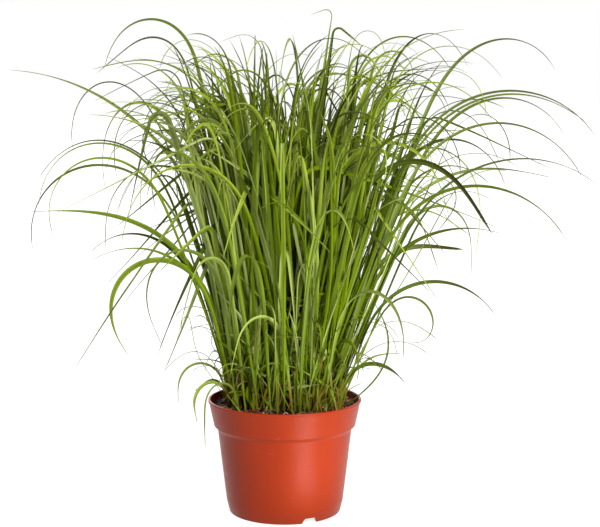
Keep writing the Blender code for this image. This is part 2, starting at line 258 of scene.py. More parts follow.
def trace(blades, steps, rng):
    """Stations along every blade, each as an array (blades, steps + 1).

    Gives the share of the length, the point, the angle from upright and the heading.
    """
    along = np.linspace(0, 1, FINE_STEPS + 1)[None, :]
    column = {key: value[:, None] for key, value in blades.items()}
    bend = smooth((along - column["start"]) / (column["end"] - column["start"]))
    angle = column["lean"] + column["bow"] * along + column["turn"] * bend
    heading = column["azimuth"] + column["veer"] * smooth(along / 0.7)
    count = len(blades["azimuth"])
    for wave in (angle, heading):
        pitch = rng.uniform(1.2, 2.8, (count, 1))
        phase = rng.uniform(0, 1, (count, 1))
        wave += column["sway"] * smooth(along / 0.3) * np.sin(2 * np.pi * (pitch * along + phase))
    angle, heading = np.radians(angle), np.radians(heading)
    step = np.stack([np.sin(angle) * np.cos(heading), np.sin(angle) * np.sin(heading), np.cos(angle)], -1)
    bearing = np.radians(blades["bearing"])
    reach = blades["root"]
    root = np.stack([reach * np.cos(bearing), reach * np.sin(bearing), soil_height(reach) - CROWN_DEPTH], -1)
    run = np.cumsum(step[:, :-1] * (blades["length"] / FINE_STEPS)[:, None, None], axis=1)
    points = root[:, None, :] + np.concatenate([np.zeros((count, 1, 3)), run], axis=1)
    measure = np.cumsum(1 / FINE_STEPS + BEND_WEIGHT * np.abs(np.diff(angle, axis=1)), axis=1)
    measure = np.concatenate([np.zeros((count, 1)), measure], axis=1)
    place = np.empty((count, steps + 1))
    for i in range(count):
        place[i] = np.interp(np.linspace(0, measure[i, -1], steps + 1), measure[i], np.arange(FINE_STEPS + 1))
    low = np.minimum(place.astype(int), FINE_STEPS - 1)
    part = place - low
    row = np.arange(count)[:, None]

    def at_stations(values):
        weight = part[..., None] if values.ndim == 3 else part
        return values[row, low] * (1 - weight) + values[row, low + 1] * weight

    return place / FINE_STEPS, at_stations(points), at_stations(angle), at_stations(heading)


def blade_width(along, blades):
    opening = 0.40 + 0.60 * smooth(along / 0.32)
    closing = 1 - (1 - blades["tip"][:, None]) * smooth((along - 0.55) / 0.45) ** blades["draw"][:, None]
    drawn = np.maximum(blades["width"][:, None] * opening * closing, LEAST_WIDTH)
    return drawn * (1 - 0.8 * smooth((along - 0.96) / 0.04))


def blade_thickness(along):
    sheath = SHEATH_THICKNESS + (BLADE_THICKNESS - SHEATH_THICKNESS) * smooth(along / 0.3)
    return sheath + (TIP_THICKNESS - BLADE_THICKNESS) * smooth((along - 0.5) / 0.5)


# Round a blade's section: how far across from the midrib, how far the V fold has opened there,
# and which side of the sheet the point is on
SECTION = np.array([(-1, 1, 0), (0, 0, -1), (1, 1, 0), (0.5, 0.58, 1), (0, 0, 1), (-0.5, 0.58, 1)])
SHARP = (0, 1, 2, 4)  # margins, keel and groove stay crisp


def blade_mesh(name, blades, rng, material, steps=LEAF_STEPS):
    """One object of closed, folded, tapering blades."""
    along, points, angle, heading = trace(blades, steps, rng)
    count, rings = along.shape
    outward = np.stack([np.cos(heading), np.sin(heading), np.zeros_like(heading)], -1)
    sideways = np.stack([-np.sin(heading), np.cos(heading), np.zeros_like(heading)], -1)
    upper = -outward * np.cos(angle)[..., None]
    upper[..., 2] += np.sin(angle)
    turned = np.radians(blades["twist"][:, None] * smooth(along / 0.6)
                        + blades["curl"][:, None] * smooth((along - 0.5) / 0.5))[..., None]
    across = sideways * np.cos(turned) + upper * np.sin(turned)
    face = upper * np.cos(turned) - sideways * np.sin(turned)
    half = blade_width(along, blades)[..., None] / 2
    thick = np.minimum(blade_thickness(along)[..., None], half * 0.9) / 2
    ring = []
    for reach, opened, side in SECTION:
        lift = -2 * FOLD * half * (1 - opened) + side * thick
        ring.append(points + across * half * reach + face * lift)
    sides = len(SECTION)
    points = np.stack(ring, 2)
    first = (np.arange(count)[:, None] * rings + np.arange(rings - 1)[None, :]) * sides
    corner = np.arange(sides)
    after = (corner + 1) % sides
    low = first[..., None] + corner
    low_after = first[..., None] + after
    quads = np.stack([low, low_after, low_after + sides, low + sides], -1).reshape(-1, 4)
    starts = np.arange(count) * rings * sides
    bottoms = starts[:, None] + corner[::-1][None, :]
    tips = starts[:, None] + (rings - 1) * sides + corner[None, :]
    faces = quads.tolist() + bottoms.tolist() + tips.tolist()
    obj = mesh_object(name, points.reshape(-1, 3), faces, [material])
    mesh = obj.data
    shape = (count, rings, sides)
    point_value(mesh, "along", np.broadcast_to(along[..., None], shape))
    point_value(mesh, "across", np.broadcast_to(SECTION[:, 0], shape))
    point_value(mesh, "side", np.broadcast_to(SECTION[:, 2], shape))
    point_value(mesh, "run", np.broadcast_to((along * blades["length"][:, None])[..., None], shape))
    seeded = dict(seed=rng.uniform(0, 1, count), pale=blades["pale"], dry=blades["dry"], deep=blades["deep"])
    for key, values in seeded.items():
        point_value(mesh, key, np.broadcast_to(values[:, None, None], shape))
    crisp_margins(mesh, sides)
    strip_uv(mesh, count, rings, sides)
    return obj


def crisp_margins(mesh, sides):
    """Marks the lengthwise edges of the section's corners as sharp."""
    ends = np.empty(len(mesh.edges) * 2, int)
    mesh.edges.foreach_get("vertices", ends)
    ends = ends.reshape(-1, 2)
    lengthwise = (np.abs(ends[:, 1] - ends[:, 0]) == sides) & np.isin(ends[:, 0] % sides, SHARP)
    layer = mesh.attributes.new("sharp_edge", "BOOLEAN", "EDGE")
    layer.data.foreach_set("value", lengthwise)


def strip_uv(mesh, count, rings, sides):
    """Lays each blade out as its own upright strip, upper side on the left half, lower on the right."""
    layer = mesh.uv_layers.new(name="OFBake")
    # Left edges of the strips of the section's six faces, as shares of the blade's own column
    left = np.array([0.54, 0.75, 0.04, 0.15, 0.26, 0.37])
    wide = np.array([0.21, 0.21, 0.11, 0.11, 0.11, 0.11])
    cell = 1.0 / count
    uv = np.zeros((count, rings - 1, sides, 4, 2))
    column = np.arange(count)[:, None, None]
    ring = np.arange(rings - 1)[None, :, None]
    bottom, top = 0.01 + 0.98 * ring / (rings - 1), 0.01 + 0.98 * (ring + 1) / (rings - 1)
    for corner, (far, height) in enumerate(((0, bottom), (1, bottom), (1, top), (0, top))):
        uv[..., corner, 0] = (column + left + far * wide) * cell
        uv[..., corner, 1] = height
    caps = np.zeros((2, count, sides, 2))
    for end, height in ((0, 0.004), (1, 0.996)):
        caps[end, ..., 0] = (np.arange(count)[:, None] + 0.1 + 0.8 * np.linspace(0, 1, sides)) * cell
        caps[end, ..., 1] = height + 0.002 * np.sin(np.linspace(0, np.pi, sides))
    layer.data.foreach_set("uv", np.concatenate([uv.ravel(), caps.ravel()]).astype(np.float32))


# ---------------- materials


class Shader:
    """A node material being put together."""

    def __init__(self, name):
        self.material = bpy.data.materials.new(name)
        self.material.use_nodes = True
        self.nodes = self.material.node_tree.nodes
        self.links = self.material.node_tree.links
        self.principled = self.nodes["Principled BSDF"]
        self.output = self.nodes["Material Output"]

    def plug(self, socket, value):
        if isinstance(value, bpy.types.NodeSocket):
            self.links.new(value, socket)
        elif isinstance(value, (tuple, list)) and len(value) == 3 and socket.type == "RGBA":
            socket.default_value = (*value, 1.0)
        else:
            socket.default_value = value

    def node(self, kind, inputs, output=0, **settings):
        """One output of a new node, once the node is set up and plugged in."""
        node = self.nodes.new("ShaderNode" + kind)
        for key, value in settings.items():
            setattr(node, key, value)
        for socket, value in inputs.items():
            self.plug(node.inputs[socket], value)
        return node.outputs[output]

    def attribute(self, name):
        return self.node("Attribute", {}, "Fac", attribute_name=name)

    def math(self, operation, a, b=0.5, clamp=False):
        return self.node("Math", {0: a, 1: b}, operation=operation, use_clamp=clamp)

    def times(self, a, b):
        return self.math("MULTIPLY", a, b)

    def span(self, value, low, high, to_low=0.0, to_high=1.0):
        """value taken from low..high to to_low..to_high, smoothly and held at the ends."""
        inputs = {"Value": value, "From Min": low, "From Max": high, "To Min": to_low, "To Max": to_high}
        return self.node("MapRange", inputs, interpolation_type="SMOOTHSTEP")

    def mix(self, factor, a, b):
        return self.node("Mix", {0: factor, 6: a, 7: b}, 2, data_type="RGBA")

    def vector(self, x, y, z):
        return self.node("CombineXYZ", {0: x, 1: y, 2: z})

    def position(self):
        """Place in the part's own frame, in metres."""
        return self.node("TexCoord", {}, "Object")

    def scaled(self, vector, *factors):
        return self.node("VectorMath", {0: vector, 1: factors}, operation="MULTIPLY")

    def noise(self, vector, scale, detail=2.0, rough=0.5):
        return self.node("TexNoise", {"Vector": vector, "Scale": scale, "Detail": detail, "Roughness": rough})

    def streaks(self, across, run, shift, detail):
        """Noise over a blade. The places across and along it each come with their own scale."""
        return self.noise(self.vector(self.times(*across), self.times(*run), shift), 1.0, detail)

    def cells(self, vector, scale):
        return self.node("TexVoronoi", {"Vector": vector, "Scale": scale}, "Distance")

    def bump(self, height, distance, strength=1.0, under=None):
        """Relief, on top of the relief that lies under it."""
        inputs = {"Height": height, "Distance": distance, "Strength": strength}
        if under is not None:
            inputs["Normal"] = under
        return self.node("Bump", inputs)

    def finish(self, **sockets):
        for name, value in sockets.items():
            self.plug(self.principled.inputs[name.replace("_", " ")], value)
        return self.material

    def let_through(self, share, colour, normal):
        """Lets a share of the light behind a thin sheet show through it."""
        thin = self.node("BsdfTranslucent", {"Color": colour, "Normal": normal})
        both = self.node("MixShader", {0: share, 1: self.principled.outputs[0], 2: thin})
        self.links.new(both, self.output.inputs["Surface"])


def leaf_material():
    """A living grass blade: ribbed, two greens, a pale midrib, a straw-brown base and a drying tip."""
    s = Shader("grass_leaf")
    along, across, run = s.attribute("along"), s.attribute("across"), s.attribute("run")
    seed, pale, dry, deep = (s.attribute(name) for name in ("seed", "pale", "dry", "deep"))
    shift = s.times(seed, 83.0)
    ribs = s.streaks((across, 5.5), (run, 0.012), shift, 2.0)
    patches = s.streaks((across, 0.7), (run, 0.05), shift, 3.0)
    # deep: a random darker tone, and for the right-side leaves partly painted shade
    green = s.mix(deep, (0.232, 0.345, 0.001), (0.040, 0.080, 0.001))
    light = s.times(s.span(patches, 0.35, 0.7), s.span(deep, 0.1, 1.0, 0.9, 0.15))
    green = s.mix(light, green, (0.215, 0.310, 0.001))
    green = s.mix(s.span(ribs, 0.3, 0.75, 0.0, 0.6), green, (0.045, 0.088, 0.001))
    midrib = s.span(s.math("ABSOLUTE", across), 0.0, 0.16, 0.45, 0.0)
    green = s.mix(midrib, green, (0.40, 0.50, 0.008))
    # Pale streaks, paler up the leaf: partly the leaves' own paler colour, partly painted highlight where the
    # upper leaf faces the light
    green = s.mix(s.times(pale, s.span(along, 0.1, 0.5, 0.4, 1.0)), green, (0.50, 0.58, 0.21))
    faded = s.times(s.span(along, 0.35, 0.85), s.span(deep, 0.0, 0.55, 0.5, 0.0))
    green = s.mix(faded, green, (0.36, 0.44, 0.08))
    drawn = s.times(s.span(along, 0.5, 0.92), s.span(deep, 0.3, 1.0, 0.1, 1.0))
    green = s.mix(drawn, green, (0.036, 0.037, 0.009))
    # Painted shade: the underside of each blade is darker, partly its own duller colour, mostly painted shade
    green = s.mix(s.span(s.attribute("side"), -1.0, 0.0, 0.6, 0.0), green, (0.055, 0.080, 0.004))
    # Painted shade: darker over the lower part of each leaf, 20 to 95 mm up, where the clump shades itself
    green = s.mix(s.span(run, 20.0, 95.0, 0.35, 0.0), green, (0.045, 0.072, 0.001))
    speck = s.streaks((across, 2.0), (run, 0.6), shift, 2.0)
    low = s.math("ADD", s.span(run, 14.0, 44.0, 1.0, 0.0), s.span(speck, 0.4, 0.8, -0.3, 0.3), clamp=True)
    # The leaf bases' own greenish and red-brown, made darker as painted shade at the foot of the clump
    sheath = s.mix(s.span(seed, 0.4, 0.9), (0.105, 0.115, 0.008), (0.150, 0.030, 0.008))
    green = s.mix(s.times(low, 0.8), green, sheath)
    straw = s.mix(speck, (0.30, 0.20, 0.06), (0.16, 0.07, 0.02))
    end = s.span(s.math("ADD", along, s.span(speck, 0.3, 0.8, -0.03, 0.03)), 0.955, 0.99)
    withered = s.math("MAXIMUM", dry, s.times(end, s.span(seed, 0.3, 0.7)), clamp=True)
    colour = s.mix(withered, green, straw)
    relief = s.bump(ribs, 0.00025, 0.6)
    s.finish(Base_Color=colour, Roughness=s.span(patches, 0.2, 0.8, 0.40, 0.55), Normal=relief,
             Specular_IOR_Level=0.06, Specular_Tint=(0.8, 1.0, 0.3, 1.0))
    s.let_through(0.12, s.mix(0.3, colour, (0.40, 0.55, 0.002)), relief)
    return s.material


def straw_material():
    """Dead leaf bases and old scale leaves: red-brown to straw, dull and fibrous."""
    s = Shader("dry_sheath")
    across, run, seed = s.attribute("across"), s.attribute("run"), s.attribute("seed")
    shift = s.times(seed, 61.0)
    fibre = s.streaks((across, 5.0), (run, 0.06), shift, 3.0)
    colour = s.mix(s.span(seed, 0.35, 0.9), (0.19, 0.038, 0.012), (0.40, 0.22, 0.06))
    colour = s.mix(s.span(fibre, 0.35, 0.7), colour, (0.10, 0.035, 0.018))
    colour = s.mix(s.span(run, 30.0, 75.0), colour, (0.26, 0.22, 0.03))
    relief = s.bump(fibre, 0.0003, 0.7)
    s.finish(Base_Color=colour, Roughness=s.span(fibre, 0.2, 0.8, 0.6, 0.85), Normal=relief,
             Specular_IOR_Level=0.15)
    return s.material


def pot_material():
    """Satin moulded plastic: an even terracotta with faint flow marks, scuffs, dust and splashes."""
    s = Shader("terracotta_plastic")
    place = s.position()
    flow = s.noise(s.scaled(place, 1.0, 1.0, 0.35), 30.0, 3.0)
    grain = s.noise(place, 2600.0, 2.0)
    scuffs = s.noise(s.scaled(place, 1.0, 1.0, 9.0), 70.0, 4.0, 0.65)
    colour = s.mix(s.span(flow, 0.3, 0.7), (0.200, 0.0168, 0.0022), (0.222, 0.0200, 0.0030))
    colour = s.mix(s.span(scuffs, 0.60, 0.78, 0.0, 0.30), colour, (0.40, 0.055, 0.020))
    height = s.node("SeparateXYZ", {0: place}, "Z")
    low = s.span(height, 0.0, 0.012, 0.22, 0.0)
    colour = s.mix(low, colour, (0.20, 0.028, 0.012))
    sides = {0: s.scaled(place, 1.0, 1.0, 0.0), 1: s.node("NewGeometry", {}, "Normal")}
    facing = s.node("VectorMath", sides, "Value", operation="DOT_PRODUCT")
    inside = s.times(s.span(facing, -0.03, -0.01, 1.0, 0.0), s.span(height, 0.076, 0.0885, 1.0, 0.0))
    splash = s.times(inside, s.span(s.noise(place, 240.0, 4.0, 0.7), 0.35, 0.6))
    colour = s.mix(splash, colour, (0.040, 0.020, 0.014))
    turning = s.noise(s.scaled(place, 0.03, 0.03, 1.0), 2600.0, 1.0)
    relief = s.bump(turning, 0.00004, 0.5, s.bump(grain, 0.00005, 0.25, s.bump(flow, 0.0012, 0.2)))
    s.finish(Base_Color=colour, Roughness=s.span(scuffs, 0.35, 0.8, 0.34, 0.46), Normal=relief,
             Specular_IOR_Level=0.12)
    return s.material


def compost_material():
    """Damp peat and bark: near black, with brown crumbs and a few pale threads."""
    s = Shader("compost")
    place = s.position()
    crumbs = s.cells(place, 520.0)
    clods = s.noise(place, 140.0, 5.0, 0.7)
    colour = s.mix(s.span(clods, 0.35, 0.7), (0.006, 0.0035, 0.004), (0.034, 0.014, 0.011))
    colour = s.mix(s.span(s.noise(place, 900.0, 2.0), 0.66, 0.76, 0.0, 0.7), colour, (0.16, 0.085, 0.045))
    colour = s.mix(s.span(crumbs, 0.1, 0.6, 0.55, 0.0), colour, (0.006, 0.004, 0.005))
    relief = s.bump(clods, 0.0012, 0.8, s.bump(crumbs, 0.0005, 0.6))
    s.finish(Base_Color=colour, Roughness=s.span(clods, 0.3, 0.7, 0.62, 0.95), Normal=relief,
             Specular_IOR_Level=0.15)
    return s.material


def bark_material():
    """Loose crumbs and chips of bark, each its own brown."""
    s = Shader("bark_crumbs")
    place = s.position()
    seed = s.attribute("seed")
    grain = s.noise(place, 1500.0, 4.0, 0.7)
    colour = s.mix(s.span(seed, 0.15, 0.95), (0.009, 0.005, 0.005), (0.070, 0.026, 0.014))
    colour = s.mix(s.span(seed, 0.93, 0.97), colour, (0.24, 0.14, 0.075))
    colour = s.mix(s.span(grain, 0.45, 0.7, 0.0, 0.6), colour, (0.006, 0.004, 0.004))
    relief = s.bump(grain, 0.0004, 0.8)
    s.finish(Base_Color=colour, Roughness=s.span(grain, 0.3, 0.7, 0.65, 0.9), Normal=relief,
             Specular_IOR_Level=0.15)
    return s.material


def root_material():
    """Fine roots and threads on the compost."""
    s = Shader("root_threads")
    seed = s.attribute("seed")
    grain = s.noise(s.position(), 1200.0, 3.0)
    colour = s.mix(s.span(seed, 0.35, 1.0), (0.16, 0.050, 0.025), (0.56, 0.38, 0.22))
    colour = s.mix(s.span(grain, 0.4, 0.75, 0.0, 0.6), colour, (0.07, 0.035, 0.022))
    relief = s.bump(grain, 0.0002, 0.6)
    s.finish(Base_Color=colour, Roughness=s.span(grain, 0.3, 0.7, 0.6, 0.85), Normal=relief,
             Specular_IOR_Level=0.15)
    return s.material


def floor_material():
    """A white table with its own glow, so that the shadow on it stays faint."""
    s = Shader("studio_floor")
    grain = s.noise(s.position(), 40.0, 2.0)
    s.finish(Base_Color=s.mix(s.span(grain, 0.3, 0.7), (0.26, 0.26, 0.26), (0.27, 0.27, 0.27)), Roughness=0.9,
             Specular_IOR_Level=0.0, Emission_Color=(1.0, 1.0, 1.0, 1.0), Emission_Strength=0.79)
    return s.material


# ---------------- pot and compost


def rounded(profile, radius, steps=4):
    """The profile with each inner corner turned into a small arc. Each corner may give its own radius."""
    out = [np.array(profile[0][:2], float)]
    for i in range(1, len(profile) - 1):
        before, here, after = (np.array(profile[j][:2], float) for j in (i - 1, i, i + 1))
        wanted = profile[i][2] if len(profile[i]) > 2 else radius
        to_before, to_after = before - here, after - here
        reach = min(wanted, 0.45 * np.linalg.norm(to_before), 0.45 * np.linalg.norm(to_after))
        a = here + to_before / np.linalg.norm(to_before) * reach
        b = here + to_after / np.linalg.norm(to_after) * reach
        for t in np.linspace(0, 1, steps + 1):
            out.append((1 - t) ** 2 * a + 2 * t * (1 - t) * here + t * t * b)
    out.append(np.array(profile[-1][:2], float))
    return out


def body_radius(height):
    share = (height - BEVEL_HEIGHT) / (BODY_TOP - BEVEL_HEIGHT)
    return BODY_FOOT_RADIUS + share * (BODY_TOP_RADIUS - BODY_FOOT_RADIUS)


def pot_profile():
    """Radius, height and corner radius, from the middle of the base, up the inside, over the rim and down."""
    inner_foot = FOOT_RADIUS - FOOT_WIDTH
    floor = BASE_RISE + WALL
    lip_foot = RIM_RADIUS - 4.5
    return [
        (0, floor),
        (body_radius(BEVEL_HEIGHT) - WALL - 1.6, floor, 1.5),
        (body_radius(BEVEL_HEIGHT) - WALL, BEVEL_HEIGHT + 0.5, 1.5),
        (BODY_TOP_RADIUS - WALL, BODY_TOP + 0.5, 1.0),
        (lip_foot - WALL, LIP_BOTTOM + 0.5, 1.0),
        (RIM_RADIUS - WALL - 0.75, POT_HEIGHT - 2.4, 0.8),
        (RIM_RADIUS - WALL - 0.55, POT_HEIGHT, 0.6),
        (RIM_RADIUS + 0.05, POT_HEIGHT, 0.7),
        (RIM_RADIUS + 0.05, POT_HEIGHT - 2.1, 0.7),
        (RIM_RADIUS - 0.55, POT_HEIGHT - 2.5, 0.3),
        (lip_foot + 0.1, LIP_BOTTOM + 0.3, 0.8),
        (lip_foot - 0.7, LIP_BOTTOM - 0.1, 0.6),
        (BODY_TOP_RADIUS, BODY_TOP, 0.8),
        (BODY_FOOT_RADIUS, BEVEL_HEIGHT, 2.4),
        (FOOT_RADIUS + 0.2, 0.5, 0.5),
        (FOOT_RADIUS - 0.2, 0, 0.3),
        (inner_foot, 0, 0.3),
        (inner_foot, BASE_RISE, 0.6),
        (0, BASE_RISE),
    ]


def circle(radius, sides):
    """Points round the axis."""
    turns = [2 * math.pi * i / sides for i in range(sides)]
    return [(radius * math.cos(turn), radius * math.sin(turn)) for turn in turns]


def turned_mesh(name, profile, sides):
    """A closed body of revolution from a profile that starts and ends on the axis."""
    build = bmesh.new()
    rows = []
    for radius, height in profile:
        if radius < 1e-6:
            rows.append([build.verts.new((0, 0, height * MM))])
            continue
        rows.append([build.verts.new((x, y, height * MM)) for x, y in circle(radius * MM, sides)])
    for low, high in zip(rows, rows[1:]):
        for i in range(sides):
            j = (i + 1) % sides
            corners = [low[i % len(low)], low[j % len(low)], high[j % len(high)], high[i % len(high)]]
            corners = [c for k, c in enumerate(corners) if c not in corners[:k]]
            build.faces.new(corners)
    bmesh.ops.recalc_face_normals(build, faces=build.faces)
    mesh = bpy.data.meshes.new(name)
    build.to_mesh(mesh)
    build.free()
    return mesh


def block(name, points, faces):
    mesh = bpy.data.meshes.new(name)
    mesh.from_pydata(np.asarray(points, float) * MM, [], faces)
    return linked(name, mesh)


def cutters():
    """Blocks that open the drainage notches and holes."""
    tools = []
    half_foot, half_top = NOTCH_WIDTH / 2, NOTCH_TOP_WIDTH / 2
    outline = [(-half_foot, -2), (half_foot, -2), (half_foot, 0)]
    for t in np.linspace(0, 1, 5):
        corner = NOTCH_CORNER * (1 - t) ** 2
        outline.append((half_top + corner, NOTCH_HEIGHT - corner))
    outline += [(-y, z) for y, z in reversed(outline[3:])] + [(-half_foot, 0)]
    count = len(outline)
    for index in range(NOTCH_COUNT):
        points = [(x, y, z) for x in (FOOT_RADIUS - CUT_DEPTH, FOOT_RADIUS + CUT_DEPTH) for y, z in outline]
        faces = [tuple(reversed(range(count))), tuple(range(count, 2 * count))]
        faces += [(i, (i + 1) % count, count + (i + 1) % count, count + i) for i in range(count)]
        tool = block(f"notch_{index}", points, faces)
        tool.rotation_euler.z = math.radians(NOTCH_AZIMUTH + index * 360 / NOTCH_COUNT)
        tools.append(tool)
    for index in range(NOTCH_COUNT + 1):
        bpy.ops.mesh.primitive_cylinder_add(vertices=32, radius=DRAIN_RADIUS * MM, depth=8 * WALL * MM)
        tool = bpy.context.object
        turn = math.radians(NOTCH_AZIMUTH + index * 360 / NOTCH_COUNT)
        reach = DRAIN_CIRCLE * MM if index < NOTCH_COUNT else 0.0
        tool.location = (reach * math.cos(turn), reach * math.sin(turn), (BASE_RISE + WALL / 2) * MM)
        tools.append(tool)
    return tools


def apply_modifiers(obj):
    bpy.context.view_layer.update()
    seen = obj.evaluated_get(bpy.context.evaluated_depsgraph_get())
    mesh = bpy.data.meshes.new_from_object(seen)
    obj.modifiers.clear()
    obj.data = mesh


def make_pot():
    mesh = turned_mesh("pot_shell", rounded(pot_profile(), CORNER_RADIUS), POT_SIDES)
    mesh.materials.append(pot_material())
    pot = linked("pot_shell", mesh)
    tools = cutters()
    for tool in tools:
        cut = pot.modifiers.new("cut", "BOOLEAN")
        cut.operation, cut.solver, cut.object = "DIFFERENCE", "EXACT", tool
    apply_modifiers(pot)
    for tool in tools:
        bpy.data.objects.remove(tool, do_unlink=True)
    pot.data.polygons.foreach_set("use_smooth", np.ones(len(pot.data.polygons), bool))
    pot.data.set_sharp_from_angle(angle=math.radians(32))
    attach(pot, "root")
    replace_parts(pot, "pot")
    return pot


def lump(x, y, scale, seed):
    """Smooth noise from -1 to 1 over the plane, in millimetres."""
    return noise.noise(Vector((x / scale, y / scale, seed)))


def surface_height(x, y):
    """The compost's own uneven top."""
    reach = math.hypot(x, y)
    base = soil_height(reach) + CROWN_SWELL * (1 - float(smooth((reach - 12) / 40)))
    rough = 0.9 * lump(x, y, 14, 3.1) + 0.9 * lump(x, y, 5, 7.7) + 0.5 * lump(x, y, 2.2, 1.3)
    return base - 0.7 + rough


def make_compost(rng):
    rings, sides = 46, 150
    points, faces = [(0, 0, surface_height(0, 0))], []
    for ring in range(1, rings + 1):
        points += [(x, y, surface_height(x, y)) for x, y in circle(SOIL_RADIUS * ring / rings, sides)]
    for radius, height in PLUG_SIDE:
        points += [(x, y, height) for x, y in circle(radius, sides)]
    points.append((0, 0, PLUG_SIDE[-1][1]))
    rows = rings + len(PLUG_SIDE)
    faces += [(0, 1 + i, 1 + (i + 1) % sides) for i in range(sides)]
    for row in range(rows - 1):
        a, b = 1 + row * sides, 1 + (row + 1) * sides
        faces += [(a + i, b + i, b + (i + 1) % sides, a + (i + 1) % sides) for i in range(sides)]
    last = 1 + (rows - 1) * sides
    faces += [(last + (i + 1) % sides, last + i, len(points) - 1) for i in range(sides)]
    soil = mesh_object("compost_bed", points, faces, [compost_material()])
    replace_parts(soil, "soil")
    make_crumbs(rng)
    make_threads(rng)


def make_crumbs(rng):
    """Crumbs and chips of bark lying on the compost."""
    shape = bmesh.new()
    bmesh.ops.create_icosphere(shape, subdivisions=2, radius=1.0)
    ball = np.array([v.co for v in shape.verts])
    sheet = np.array([[v.index for v in f.verts] for f in shape.faces])
    shape.free()
    points, faces, seeds = [], [], []
    for _ in range(CRUMB_COUNT):
        reach = SOIL_RADIUS * math.sqrt(rng.uniform(0, 0.985))
        turn = rng.uniform(0, 2 * math.pi)
        size = 0.55 + 1.5 * rng.uniform(0, 1) ** 2.2
        x, y = reach * math.cos(turn), reach * math.sin(turn)
        limit = SOIL_RADIUS - size
        if reach > limit:
            x, y = x * limit / reach, y * limit / reach
        stretch = np.array([1.0, rng.uniform(0.5, 0.9), rng.uniform(0.3, 0.75)])
        bumps = 1 + 0.42 * (rng.uniform(-1, 1, len(ball)) * 0.55 + np.sin(ball @ rng.uniform(-3, 3, 3)) * 0.6)
        body = ball * bumps[:, None] * stretch * size
        tilt = Matrix.Rotation(rng.uniform(0, 6.28), 3, "Z") @ Matrix.Rotation(rng.uniform(-0.7, 0.7), 3, "X")
        body = body @ np.array(tilt).T + (x, y, surface_height(x, y) + 0.25 * size)
        faces.append(sheet + len(points) * len(ball))
        points.append(body)
        seeds.append(np.full(len(ball), rng.uniform(0, 1)))
    crumbs = mesh_object("bark_crumbs", np.concatenate(points), np.concatenate(faces).tolist(),
                         [bark_material()], smooth_faces=False)
    point_value(crumbs.data, "seed", np.concatenate(seeds))


def tube(path, radii, sides=5):
    """Rings round a path, for joining into closed tubes."""
    path = np.asarray(path, float)
    along = np.gradient(path, axis=0)
    along /= np.linalg.norm(along, axis=1)[:, None]
    side = np.cross(along, (0.13, 0.21, 0.97))
    side /= np.maximum(np.linalg.norm(side, axis=1), 1e-9)[:, None]
    up = np.cross(side, along)
    turn = 2 * np.pi * np.arange(sides) / sides
    ring = side[:, None] * np.cos(turn)[None, :, None] + up[:, None] * np.sin(turn)[None, :, None]
    return path[:, None] + ring * np.asarray(radii)[:, None, None]


def tube_faces(rings, sides, start):
    faces = []
    for ring in range(rings - 1):
        a, b = start + ring * sides, start + (ring + 1) * sides
        faces += [(a + i, a + (i + 1) % sides, b + (i + 1) % sides, b + i) for i in range(sides)]
    faces.append(tuple(start + i for i in reversed(range(sides))))
    faces.append(tuple(start + (rings - 1) * sides + i for i in range(sides)))
    return faces


def make_threads(rng):
    """Fine roots and threads that loop over the compost."""
    points, faces, seeds, start = [], [], [], 0
    steps, sides = 12, 5
    for _ in range(THREAD_COUNT):
        reach = SOIL_RADIUS * math.sqrt(rng.uniform(0.02, 0.93))
        turn = rng.uniform(0, 2 * math.pi)
        heading = rng.uniform(0, 2 * math.pi)
        length = rng.uniform(5, 20)
        x, y = reach * math.cos(turn), reach * math.sin(turn)
        arch = rng.uniform(0.2, 5.0) * rng.uniform(0, 1)
        path = []
        for step in range(steps):
            share = step / (steps - 1)
            inside = min(1.0, (SOIL_RADIUS - 1.0) / max(math.hypot(x, y), 1e-6))
            x, y = x * inside, y * inside
            path.append((x, y, surface_height(x, y) + 0.1 + arch * math.sin(math.pi * share)))
            heading += rng.normal(0, 0.35)
            x += length / steps * math.cos(heading)
            y += length / steps * math.sin(heading)
        thick = rng.uniform(0.16, 0.42)
        radii = thick * (1 - 0.6 * np.linspace(0, 1, steps))
        points.append(tube(path, radii, sides).reshape(-1, 3))
        faces += tube_faces(steps, sides, start)
        start += steps * sides
        seeds.append(np.full(steps * sides, rng.uniform(0, 1)))
    threads = mesh_object("root_threads", np.concatenate(points), faces, [root_material()])
    point_value(threads.data, "seed", np.concatenate(seeds))


# ---------------- the clump


def named_leaves(rng, material):
    for side, rows in LEAVES.items():
        for index, row in enumerate(rows):
            node = f"leaf_{side}_{index + 1}"
            leaf = dict(zip(COLUMNS, row))
            blades = bunch(
                1, **leaf, curl=rng.uniform(-30, 30), deep=rng.uniform(*SHADE[side]),
                pale=PALE_LEAVES.get(node, 0.45 * rng.uniform(0, 1) ** 2), draw=1.0 + 0.3 * leaf["width"],
            )
            blades["width"] = np.minimum(0.85 * blades["width"] + 0.15, WIDEST)
            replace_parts(blade_mesh(f"blade_{side}_{index + 1}", blades, rng, material), node)


def tiller_places(rng, count, reach):
    """Evenly scattered shoots: distance from the axis and bearing."""
    index = np.arange(count) + 0.5
    distance = reach * (index / count) ** 0.58 + rng.normal(0, 1.0, count)
    bearing = np.degrees(index * GOLDEN_ANGLE) + rng.normal(0, 3, count)
    return np.clip(distance, 0, reach), bearing


def drawn_in(distance, bearing, share=0.46):
    """The clump stands a little nearer to the pot's back, so its front shoots are further in."""
    return distance * (1 - share * np.clip(-np.sin(np.radians(bearing)), 0, 1))


def rough_course(blades):
    """Points along every blade, and how far each is from the axis."""
    points = trace(blades, 24, np.random.default_rng(5))[1]
    return points, np.hypot(points[..., 0], points[..., 1])


def draws(rng, count):
    """Two functions that draw a column: evenly between two limits, and normally about a middle."""

    def between(low, high):
        return rng.uniform(low, high, count)

    def about(middle, spread):
        return rng.normal(middle, spread, count)

    return between, about


